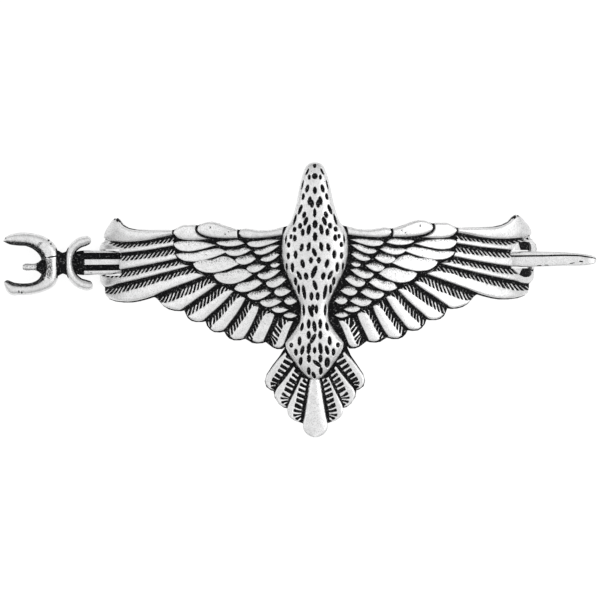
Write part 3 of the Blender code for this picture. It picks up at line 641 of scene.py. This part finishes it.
def on_plate(piece, node, crease=40):
    """Bows a flat piece and finishes it on the plate."""
    bow(piece)
    finished(piece, "plate", [node], crease)


def mirrored(points):
    return [(-x, y) for x, y in reversed(points)]


def hole_cutter():
    """The right tip's hole, as it opens through the feathers round the narrow end of the stick."""
    return block("hole_cutter", mirrored(HOLE), CUTTER_BOTTOM, CUTTER_TOP, DEEP)


def slot_cutter(side):
    """The narrower way through the plate under the stick, which leaves dark pockets in the hole's corners."""
    near, far = SLOT_ENDS
    low = STICK_Y - SLOT_HALF[side]
    high = STICK_Y + SLOT_HALF[side]
    corners = [(side * near, low), (side * far, low), (side * far, high), (side * near, high)]
    return block("slot_cutter", corners[::side], CUTTER_BOTTOM, CUTTER_TOP, DEEP)


def feather(name, upper, ticks, edge, lean, pitch, line=0.4, tick_half=0.31, shaded=0.6, pale_tip=0.0,
            seed=1):
    """An engraved feather: a dark line under its neighbour, rising barbs, and a smooth, rounded band.

    upper is the neighbour's edge, ticks the line where the barbs end, edge the feather's own edge and tip.
    """
    random = np.random.default_rng(seed)
    rows = int(length_of(ticks) / ROW_STEP) + 2
    top = evenly(upper, rows)
    mid = evenly(ticks, rows)
    low = evenly(edge, rows)
    outward = top - mid
    width = np.maximum(np.linalg.norm(outward, axis=1), 1e-6)[:, None]
    tuck = top + 0.25 * outward / width
    tick_columns = int(np.median(width) / COLUMN_STEP) + 3
    band_columns = int(np.median(np.linalg.norm(low - mid, axis=1)) / 0.2) + 3

    across = np.linspace(0, 1, tick_columns)[None, :]
    barbs = top[:, None] + (mid - top)[:, None] * across[..., None]
    depth = width * across
    tangent = np.gradient(mid, axis=0)
    tangent /= np.linalg.norm(tangent, axis=1)[:, None]
    normal = np.column_stack((-tangent[:, 1], tangent[:, 0]))
    normal *= np.sign((normal * outward).sum(axis=1))[:, None]
    travel = travel_along(mid)[:, None]
    offset = barbs - mid[:, None]
    beside = (offset * tangent[:, None]).sum(axis=2)
    above = (offset * normal[:, None]).sum(axis=2)
    phase = (travel + beside + lean * above) / pitch + 0.3
    index = np.floor(phase).astype(int) % DIFFERING
    half = tick_half * (1 + 0.2 * random.uniform(-1, 1, DIFFERING))[index]
    reach = random.uniform(0.0, 0.22, DIFFERING)[index]
    away = abs(phase - np.floor(phase) - 0.5)
    tick = 1 - smooth(half - 0.06, half + 0.06, away)
    tick *= smooth(reach - 0.1, reach + 0.15, width - depth)
    rise = smooth(0, 1, np.clip((depth - line) / np.maximum(width - line, 0.1), 0, 1))
    ridge = LINE_FLOOR * (1 - rise)
    barb_height = np.maximum(ridge - BARB_DEPTH * tick, BARB_FLOOR)
    # Painted shade: shade darkens the line under the neighbour's edge and part of the rising barbs as the
    # step's shadow, over the patina in that line; tick is patina in the cut barbs.
    shade = 1 - smooth(line * 0.7, line + shaded * np.maximum(width - line, 0.2), depth)
    rubbed = pale_tip * (1 - smooth(*PALE_REACH, travel[-1] - travel))
    barb_patina_and_shade = DEEP * np.maximum(tick, shade) * (1 - rubbed)

    spread = np.linspace(0, 1, band_columns + 1)[None, 1:] ** 0.85
    band = mid[:, None] + (low - mid)[:, None] * spread[..., None]
    band_width = np.linalg.norm(low - mid, axis=1)[:, None]
    near_edge = band_width * (1 - spread)
    band_height = 0.1 * np.sin(math.pi * spread) * np.clip(band_width, 0, 1) - edge_drop(near_edge)

    return skin_of(name, [
        column(tuck, LINE_FLOOR - 0.05, DEEP),
        strip(barbs, barb_height, barb_patina_and_shade),
        strip(band, band_height, np.zeros_like(band_height)),
        column(low, GROUND, 0.3),
        column(low, UNDER, DEEP),
        column(tuck, UNDER, DEEP),
    ])


def leaf(name, upper, lower, rise=0.0, tilt=0.0, radius=EDGE_ROUND, crown=0.08, step=0.2, marks=(),
         painted_top_shade=0.0):
    """A plain raised leaf between two edges, rounded all round and tilted up towards its lower edge."""
    rows = int(max(length_of(upper), length_of(lower)) / step) + 3
    shares = 0.5 - 0.5 * np.cos(math.pi * np.linspace(0, 1, rows))
    top = along(upper, shares)
    low = along(lower, shares)
    width = np.linalg.norm(low - top, axis=1)[:, None]
    columns = int(width.max() / step) + 4
    across = (0.5 - 0.5 * np.cos(math.pi * np.linspace(0, 1, columns)))[None, :]
    face = top[:, None] + (low - top)[:, None] * across[..., None]
    middle = (top + low) / 2
    travel = travel_along(middle)
    to_end = np.minimum(travel, travel[-1] - travel)[:, None]
    from_top = width * across
    from_low = width * (1 - across)
    near = np.minimum(np.minimum(from_top, from_low), 2 * to_end)
    height = rise - tilt * (1 - across) + crown * np.sin(math.pi * across) - edge_drop(near, radius)
    marked = pit_depth(face[..., 0], face[..., 1], marks)
    height = height - 0.3 * marked
    # Besides patina in the marks, painted shade can darken the leaf towards its upper edge.
    recess = np.maximum(DEEP * marked, painted_top_shade * (1 - smooth(0, 0.95, across)))

    return skin_of(name, [strip(face, height, recess), column(low, UNDER, DEEP), column(top, UNDER, DEEP)])


def covert(number, outer, low, inner, *upper):
    """A small covert feather with a full lower edge."""
    centre = np.mean([outer, low, inner], axis=0)
    outer, low, inner, *upper = [
        tuple(centre + (np.array(point) - centre) * COVERT_GROWTH) for point in (outer, low, inner, *upper)
    ]
    upper = [(x, y + COVERT_LIFT) for x, y in upper]
    shoulder = (outer[0] + 0.15 * (upper[-1][0] - outer[0]), outer[1] + 0.5 * (upper[-1][1] - outer[1]))
    lower = [
        outer,
        (outer[0] + 0.12 * (low[0] - outer[0]), outer[1] + 0.4 * (low[1] - outer[1])),
        (outer[0] + 0.45 * (low[0] - outer[0]), outer[1] + 0.82 * (low[1] - outer[1])),
        low,
        (low[0] + 0.55 * (inner[0] - low[0]), low[1] + 0.35 * (inner[1] - low[1])),
        inner,
    ]
    over = [outer, shoulder, *reversed(upper), inner]
    # Painted shade: the covert greys towards its upper edge, as under the lower edge of the covert above, a
    # little less on wider coverts.
    painted_top_shade = 0.31 - 0.1 * smooth(5, 9, inner[0] - outer[0])
    return leaf(f"covert_{number}", over, lower, rise=0.12, tilt=0.22, radius=0.22, painted_top_shade=painted_top_shade)


def silver_material(name):
    """Antiqued silver: pale rubbed metal, black patina where the surface lies deep, painted shade under the
    feathers' and coverts' edges, and a fine cast grain.
    """
    chosen = settings()
    made = bpy.data.materials.new(name)
    made.use_nodes = True
    nodes = made.node_tree.nodes
    links = made.node_tree.links
    shader = nodes["Principled BSDF"]
    shader.inputs["Metallic"].default_value = 1

    where = nodes.new("ShaderNodeTexCoord")
    depth = nodes.new("ShaderNodeAttribute")
    depth.attribute_name = "recess"

    def noise(size, detail):
        made_noise = nodes.new("ShaderNodeTexNoise")
        made_noise.inputs["Scale"].default_value = 1 / size
        made_noise.inputs["Detail"].default_value = detail
        links.new(where.outputs["Object"], made_noise.inputs["Vector"])
        return made_noise.outputs["Fac"]

    def feed(socket, value):
        if isinstance(value, (int, float, tuple)):
            socket.default_value = value
        else:
            links.new(value, socket)

    def maths(operation, first, second):
        made_maths = nodes.new("ShaderNodeMath")
        made_maths.operation = operation
        feed(made_maths.inputs[0], first)
        feed(made_maths.inputs[1], second)
        return made_maths.outputs[0]

    def ranged(value, low, high, to_low, to_high):
        made_range = nodes.new("ShaderNodeMapRange")
        made_range.interpolation_type = "SMOOTHSTEP"
        links.new(value, made_range.inputs["Value"])
        for socket, number in zip(("From Min", "From Max", "To Min", "To Max"), (low, high, to_low, to_high)):
            made_range.inputs[socket].default_value = number
        return made_range.outputs["Result"]

    def mixed(share, first, second):
        made_mix = nodes.new("ShaderNodeMix")
        made_mix.data_type = "RGBA"
        links.new(share, made_mix.inputs["Factor"])
        feed(made_mix.inputs[6], first)
        feed(made_mix.inputs[7], second)
        return made_mix.outputs[2]

    grain = noise(chosen.grain, 3)
    mottle = noise(0.0016, 4)
    specks = noise(0.0009, 2)
    crust = noise(0.00045, 3)
    ragged = maths("MULTIPLY", maths("SUBTRACT", grain, 0.5), 0.45)
    # The recess attribute brings patina and painted shade alike; both turn the silver black here.
    level = maths("ADD", depth.outputs["Fac"], ragged)
    dark = ranged(level, 0.14, 0.36, 0, 1)
    speck = ranged(specks, 0.72, 0.78, 0, 0.75)
    dark = maths("MAXIMUM", dark, speck)
    crumbs = ranged(crust, 0.56, 0.74, 0, 0.28)
    dark = maths("SUBTRACT", dark, crumbs)

    def silver_at(share):
        return tuple(share * part for part in chosen.silver) + (1,)

    pale = mixed(ranged(mottle, 0.35, 0.7, 0, 1), silver_at(1), silver_at(0.88))
    pale = mixed(ranged(grain, 0.42, 0.72, 0, 1), pale, silver_at(0.66))
    links.new(mixed(dark, pale, tuple(chosen.patina) + (1,)), shader.inputs["Base Color"])
    links.new(ranged(dark, 0, 1, chosen.polish, 0.7), shader.inputs["Roughness"])
    bump = nodes.new("ShaderNodeBump")
    bump.inputs["Strength"].default_value = 0.5
    bump.inputs["Distance"].default_value = 0.00004
    links.new(maths("ADD", grain, mottle), bump.inputs["Height"])
    links.new(bump.outputs["Normal"], shader.inputs["Normal"])
    return made


def silver_for(body):
    """The casting's own silver, made once."""
    name = body + "_antique_silver"
    return bpy.data.materials.get(name) or silver_material(name)


class HAIRSLIDE_OT_plate_back(bpy.types.Operator):
    """Cast the bowed plate that the feathers stand on, with a slot in each wing tip"""

    bl_idname = "hairslide.plate_back"
    bl_label = "Plate Back"

    def execute(self, context):
        whole = OUTLINE + mirrored(OUTLINE[1:-1])
        outline = [(x + AXIS_SHIFT * float(smooth(-22, -27, y)), y) for x, y in whole]
        plate = block("plate_back", outline, PLATE_BACK, GROUND, DEEP)
        for side in (-1, 1):
            boolean(plate, slot_cutter(side), "DIFFERENCE")
        edit(plate)
        for i in range(-HALF_SPAN, HALF_SPAN + 1):
            bpy.ops.mesh.select_all(action="SELECT")
            bpy.ops.mesh.bisect(plane_co=(i * MM, 0, 0), plane_no=(1, 0, 0))
        end_edit()
        darken_top(plate, GROUND, DEEP)
        on_plate(plate, "wing_plate", crease=30)
        return {"FINISHED"}


class HAIRSLIDE_OT_flight_feathers(bpy.types.Operator):
    """Engrave the long feathers of both wings"""

    bl_idname = "hairslide.flight_feathers"
    bl_label = "Flight Feathers"

    def execute(self, context):
        pitch = settings().barb_pitch / MM
        left = []
        above = LEADING_EDGE
        for i, (shared, lean, ticks, edge) in enumerate(FLIGHT_FEATHERS):
            pale = PALE_TIP if i == 0 else 0.0
            name = f"flight_{i}"
            left.append(feather(name, above[:shared], ticks, edge, lean, pitch, pale_tip=pale, seed=i + 1))
            above = edge
        right = [mirrored_copy(vane) for vane in left]
        for i in range(HOLED_FEATHERS):
            boolean(left[i], slot_cutter(-1), "DIFFERENCE")
            boolean(right[i], hole_cutter(), "DIFFERENCE")
        for upper, lower in RAMPS:
            ramp = mirror(leaf("ramp", upper, lower, radius=0.25))
            boolean(ramp, slot_cutter(1), "DIFFERENCE")
            right.append(ramp)
        for name, vanes in (("flight_feathers_left", left), ("flight_feathers_right", right)):
            on_plate(joined(name, vanes), "wing_plate")
        return {"FINISHED"}


class HAIRSLIDE_OT_coverts(bpy.types.Operator):
    """Raise the small overlapping feathers next to the body"""

    bl_idname = "hairslide.coverts"
    bl_label = "Coverts"

    def execute(self, context):
        left = [covert(i, *points) for i, points in enumerate(COVERTS)]
        on_plate(on_both_sides("covert_feathers", left), "wing_plate")
        return {"FINISHED"}


class HAIRSLIDE_OT_leading_plates(bpy.types.Operator):
    """Raise the plain rounded plates along the front of both wings"""

    bl_idname = "hairslide.leading_plates"
    bl_label = "Leading Plates"

    def execute(self, context):
        left = [
            leaf(f"leading_{i}", *edges, rise=0.25, radius=0.65, crown=0.2, step=0.16, marks=PLATE_MARKS)
            for i, edges in enumerate(LEADING_PLATES)
        ]
        on_plate(on_both_sides("leading_plates", left), "wing_plate")
        return {"FINISHED"}


class HAIRSLIDE_OT_tail(bpy.types.Operator):
    """Engrave the tail feathers and set the keel between them"""

    bl_idname = "hairslide.tail"
    bl_label = "Tail"

    def execute(self, context):
        left = [
            feather(f"tail_{i}", inner, ticks, edge, lean, TAIL_PITCH, line=line, tick_half=0.3,
                    shaded=0.15, seed=30 + i)
            for i, (line, lean, inner, ticks, edge) in enumerate(TAIL_FEATHERS)
        ]
        keel_left = [(-half, y) for y, half in KEEL]
        keel_right = [(half, y) for y, half in KEEL]
        keel = leaf("keel", keel_left, keel_right, rise=0.1, radius=0.5, crown=0.55, step=0.2)
        tail = on_both_sides("tail_feathers", left, keel)
        tail.data.transform(Matrix.Translation((AXIS_SHIFT * MM, 0, 0)))
        on_plate(tail, "wing_plate")
        return {"FINISHED"}


class HAIRSLIDE_OT_body(bpy.types.Operator):
    """Dome the bird's body and punch its pits"""

    bl_idname = "hairslide.body"
    bl_label = "Body"

    def execute(self, context):
        rows = int(length_of(BODY) / 0.15)
        along_body, half, crown = evenly(BODY, rows).T[:, :, None]
        angle = np.linspace(0, math.pi, BODY_COLUMNS)[None, :]
        x = -half * np.cos(angle)
        y = along_body + 0 * x
        dome = crown * np.sin(angle) ** 0.75
        face = np.stack((x, y, dome), axis=2)
        down = np.gradient(face, axis=0)
        sideways = np.gradient(face, axis=1)
        normal = np.cross(sideways, down)
        normal /= np.maximum(np.linalg.norm(normal, axis=2), 1e-9)[..., None]
        normal *= np.sign(normal[..., 2:] + 1e-9)
        punched = [(across, *rest[:-1], -rest[-1]) for across, *rest in PIT_PAIRS]
        punched += [(-across, *rest) for across, *rest in PIT_PAIRS] + PIT_SINGLES
        pits = pit_depth(x, y, punched)
        face = face - normal * (PIT_DEPTH * pits)[..., None]
        recess = DEEP * pits
        base = np.stack((x[:, [-1, 0]], y[:, [-1, 0]], np.full((rows, 2), UNDER)), axis=2)
        rings = np.concatenate((face, base), axis=1)
        body = skin("body_casting", rings, np.concatenate((recess, np.full((rows, 2), DEEP)), axis=1))
        places = places_of(body)
        places[:, 0] += AXIS_SHIFT * (1 - smooth(-20, 15, places[:, 1]))
        place(body, places)
        on_plate(body, "bird_body")
        return {"FINISHED"}


def on_stick(points):
    """Plan places and heights about the stick's axis, as places in the object's frame."""
    points = np.array(points, float)
    return points + (OFFSET_X, OFFSET_Y, STICK_BOTTOM + AXIS_UP)


class HAIRSLIDE_OT_stick_shaft(bpy.types.Operator):
    """Draw the tapered shaft with its two long grooves"""

    bl_idname = "hairslide.stick_shaft"
    bl_label = "Stick Shaft"

    def execute(self, context):
        x, width, thick, groove = evenly(SHAFT, SHAFT_ROWS).T[:, :, None]
        over = np.sin(np.linspace(0.5, -0.5, TOP_COLUMNS) * math.pi)
        under = np.sin(np.linspace(-0.5, 0.5, BOTTOM_COLUMNS) * math.pi)[1:-1]
        across = np.concatenate((over, under))[None, :]
        up = (1 - abs(across) ** SQUARENESS) ** (1 / SQUARENESS)
        up[:, TOP_COLUMNS:] *= -1
        cut = np.zeros_like(across)
        for groove_sides in GROOVES:
            stations, low, high = np.array(groove_sides).T
            low = np.interp(x, stations, low)
            high = np.interp(x, stations, high)
            open_here = smooth(0.02, 0.06, high - low)
            between = smooth(-0.03, 0.03, across - low) * smooth(-0.03, 0.03, high - across)
            cut = np.maximum(cut, open_here * between)
        cut = cut * (up > 0.5)
        y = across * width / 2
        z = thick / 2 + up * thick / 2 - cut * groove - AXIS_UP
        droop = POINT_DROOP * smooth(64, 74, x)
        rings = on_stick(np.stack((x + 0 * y, y + STICK_Y - droop, z), axis=2))
        recess = np.maximum(DEEP * cut, DEEP * pit_depth(x + 0 * y, y + STICK_Y, TIP_MARKS) * (up > 0.5))
        recess = np.maximum(recess, DEEP * (1 - smooth(-61.4, -60.5, x + 0.25 * abs(across))) + 0 * y)
        shaft = skin("shaft_casting", rings, recess)
        finished(shaft, "stick", ["stick_shaft"], crease=50)
        return {"FINISHED"}


def crescent(name, outer, inner, dark_share):
    """A crescent with a ridge along it, falling steeply to its dark inner side."""
    rows = int(length_of(outer) / 0.15)
    out = evenly(outer, rows)
    into = evenly(inner, rows)
    half = CRESCENT_THICK / 2
    upper = evenly(CRESCENT_PROFILE, 26)
    width = np.linalg.norm(out - into, axis=1)[:, None]
    body = np.clip(width / 1.5, 0, 1) ** 0.5
    share = np.concatenate((upper[:, 0], upper[::-1, 0]))[None, :, None]
    level = np.concatenate((upper[:, 1], -upper[::-1, 1]))[None, :]
    places = into[:, None] + (out - into)[:, None] * share
    height = half * level * body
    rings = on_stick(strip(places, height, None)[0])
    inner_dark = INNER_RECESS * (1 - smooth(dark_share - 0.08, dark_share + 0.1, share[..., 0]))
    by_neck = 1 - smooth(0, 1.1, abs(places[..., 0] - NECK_X) - 1.2)
    by_neck = by_neck * (1 - smooth(3.4, 4.8, abs(places[..., 1])))
    recess = np.maximum(inner_dark + 0 * height, DEEP * by_neck * smooth(0.8, 0.95, share[..., 0]))
    for share_of_dark, marks in ((0.27, FINIAL_TARNISH), (DEEP, FINIAL_MARKS)):
        marked = pit_depth(places[..., 0], places[..., 1], marks)
        recess = np.maximum(recess, share_of_dark * marked * (height > 0))
    return skin(name, rings, recess)


def turned(name, profile, place_of_root, direction):
    """A turned pin lying along x: distance from its root, and radius."""
    angle = np.linspace(0, 2 * math.pi, 32, endpoint=False)[None, :]
    distance, radius = profile.T[:, :, None]
    x = place_of_root[0] + direction * distance + 0 * angle
    y = place_of_root[1] + radius * np.cos(angle)
    rings = on_stick(np.stack((x, y, radius * np.sin(angle)), axis=2))
    recess = np.maximum(DEEP * (1 - smooth(0.3, 1.7, distance)), PEG_TARNISH) + 0 * x
    return skin(name, rings, recess)


class HAIRSLIDE_OT_finial(bpy.types.Operator):
    """Model the two crescents, the neck between them and the peg"""

    bl_idname = "hairslide.finial"
    bl_label = "Finial"

    def execute(self, context):
        big = crescent("moon_crescent", BIG_OUTER, BIG_INNER, 0.3)
        finished(big, "stick", ["crescent_finial"], crease=50)
        small = crescent("collar_casting", SMALL_OUTER, SMALL_INNER, 0.16)
        x, tall, thick = evenly(NECK, 24).T[:, :, None]
        angle = np.linspace(0, 2 * math.pi, 40, endpoint=False)[None, :]
        ring = (x + 0 * angle, tall * np.cos(angle) - 0.15, thick * np.sin(angle))
        rings = on_stick(np.stack(ring, axis=2))
        neck = skin("neck", rings, np.full(rings.shape[:2], DEEP))
        collar = joined("collar_casting", [small, neck])
        finished(collar, "stick", ["collar_crescent"], crease=50)
        peg = turned("peg_casting", evenly(PEG, 30), PEG_ROOT, -1)
        finished(peg, "stick", ["finial_peg"], crease=50)
        return {"FINISHED"}


class HAIRSLIDE_OT_stage(bpy.types.Operator):
    """Set the pale floor, the light tent and the camera"""

    bl_idname = "hairslide.stage"
    bl_label = "Stage"

    camera_height = 5.0
    view_width = 0.15864
    view_turn = math.radians(-0.47)
    floor_size = 6.0

    def execute(self, context):
        scene = context.scene
        scene.view_settings.view_transform = "Standard"
        bpy.ops.mesh.primitive_plane_add(size=self.floor_size, location=(0, 0, -0.0001))
        floor = context.object
        floor.name = "floor"
        paint = bpy.data.materials.new("white_paper")
        paint.use_nodes = True
        shader = paint.node_tree.nodes["Principled BSDF"]
        shader.inputs["Base Color"].default_value = (0.22, 0.22, 0.22, 1)
        shader.inputs["Roughness"].default_value = 0.9
        shader.inputs["Emission Color"].default_value = (1, 1, 1, 1)
        shader.inputs["Emission Strength"].default_value = 0.86
        floor.data.materials.append(paint)
        floor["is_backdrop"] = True
        self.light_tent(scene)
        for name, place_at, power in (
            ("key_panel", (0.7, 0.1, 0.62), 1.4),
            ("fill_panel", (-0.8, 0.2, 0.55), 0.45),
        ):
            bpy.ops.object.light_add(type="AREA", location=place_at)
            panel = context.object
            panel.name = name
            panel.data.size = 0.6
            panel.data.energy = power
            panel.rotation_euler = Vector(place_at).to_track_quat("Z", "Y").to_euler()
            panel.visible_camera = False
        self.camera(scene)
        return {"FINISHED"}

    def light_tent(self, scene):
        """A pale tent, brighter overhead than at the horizon."""
        chosen = settings()
        world = bpy.data.worlds.new("light_tent")
        scene.world = world
        world.use_nodes = True
        nodes = world.node_tree.nodes
        links = world.node_tree.links
        where = nodes.new("ShaderNodeTexCoord")
        long_way = nodes.new("ShaderNodeVectorMath")
        long_way.operation = "MULTIPLY"
        long_way.inputs[1].default_value = TENT_STRETCH
        links.new(where.outputs["Generated"], long_way.inputs[0])
        even = nodes.new("ShaderNodeVectorMath")
        even.operation = "NORMALIZE"
        links.new(long_way.outputs["Vector"], even.inputs[0])
        height = nodes.new("ShaderNodeVectorMath")
        height.operation = "DOT_PRODUCT"
        height.inputs[1].default_value = TENT_TOP
        links.new(even.outputs["Vector"], height.inputs[0])
        bright = nodes.new("ShaderNodeMapRange")
        bright.inputs["From Min"].default_value = TENT_LOW
        bright.inputs["To Min"].default_value = chosen.horizon
        bright.inputs["To Max"].default_value = chosen.sky
        links.new(height.outputs["Value"], bright.inputs["Value"])
        links.new(bright.outputs["Result"], nodes["Background"].inputs["Strength"])
        nodes["Background"].inputs["Color"].default_value = (1, 1, 1, 1)

    def camera(self, scene):
        low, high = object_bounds()
        centre = (low + high) / 2
        bpy.ops.object.camera_add(location=(centre.x, centre.y, self.camera_height))
        camera = bpy.context.object
        camera.name = "overhead_camera"
        camera.data.sensor_width = 36
        camera.data.lens = 36 * self.camera_height / self.view_width
        camera.data.clip_end = 20
        camera.rotation_euler = (0, 0, self.view_turn)
        scene.camera = camera


class HAIRSLIDE_PT_panel(bpy.types.Panel):
    """Lists the pieces of the hair slide"""

    bl_label = "Hair Slide"
    bl_idname = "HAIRSLIDE_PT_panel"
    bl_space_type = "VIEW_3D"
    bl_region_type = "UI"
    bl_category = "Hair Slide"

    def draw(self, context):
        for name in HairSlideSettings.__annotations__:
            self.layout.prop(context.scene.hair_slide, name)
        for operator in OPERATORS:
            self.layout.operator(operator.bl_idname)


OPERATORS = (
    HAIRSLIDE_OT_plate_back,
    HAIRSLIDE_OT_flight_feathers,
    HAIRSLIDE_OT_coverts,
    HAIRSLIDE_OT_leading_plates,
    HAIRSLIDE_OT_tail,
    HAIRSLIDE_OT_body,
    HAIRSLIDE_OT_stick_shaft,
    HAIRSLIDE_OT_finial,
    HAIRSLIDE_OT_stage,
)


def register():
    for cls in (HairSlideSettings, *OPERATORS, HAIRSLIDE_PT_panel):
        bpy.utils.register_class(cls)
    bpy.types.Scene.hair_slide = PointerProperty(type=HairSlideSettings)


def unregister():
    del bpy.types.Scene.hair_slide
    for cls in reversed((HairSlideSettings, *OPERATORS, HAIRSLIDE_PT_panel)):
        bpy.utils.unregister_class(cls)


def main():
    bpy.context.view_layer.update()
    register()
    bpy.ops.hairslide.plate_back()
    bpy.ops.hairslide.flight_feathers()
    bpy.ops.hairslide.coverts()
    bpy.ops.hairslide.leading_plates()
    bpy.ops.hairslide.tail()
    bpy.ops.hairslide.body()
    bpy.ops.hairslide.stick_shaft()
    bpy.ops.hairslide.finial()
    bpy.ops.hairslide.stage()


if __name__ == "__main__":
    main()
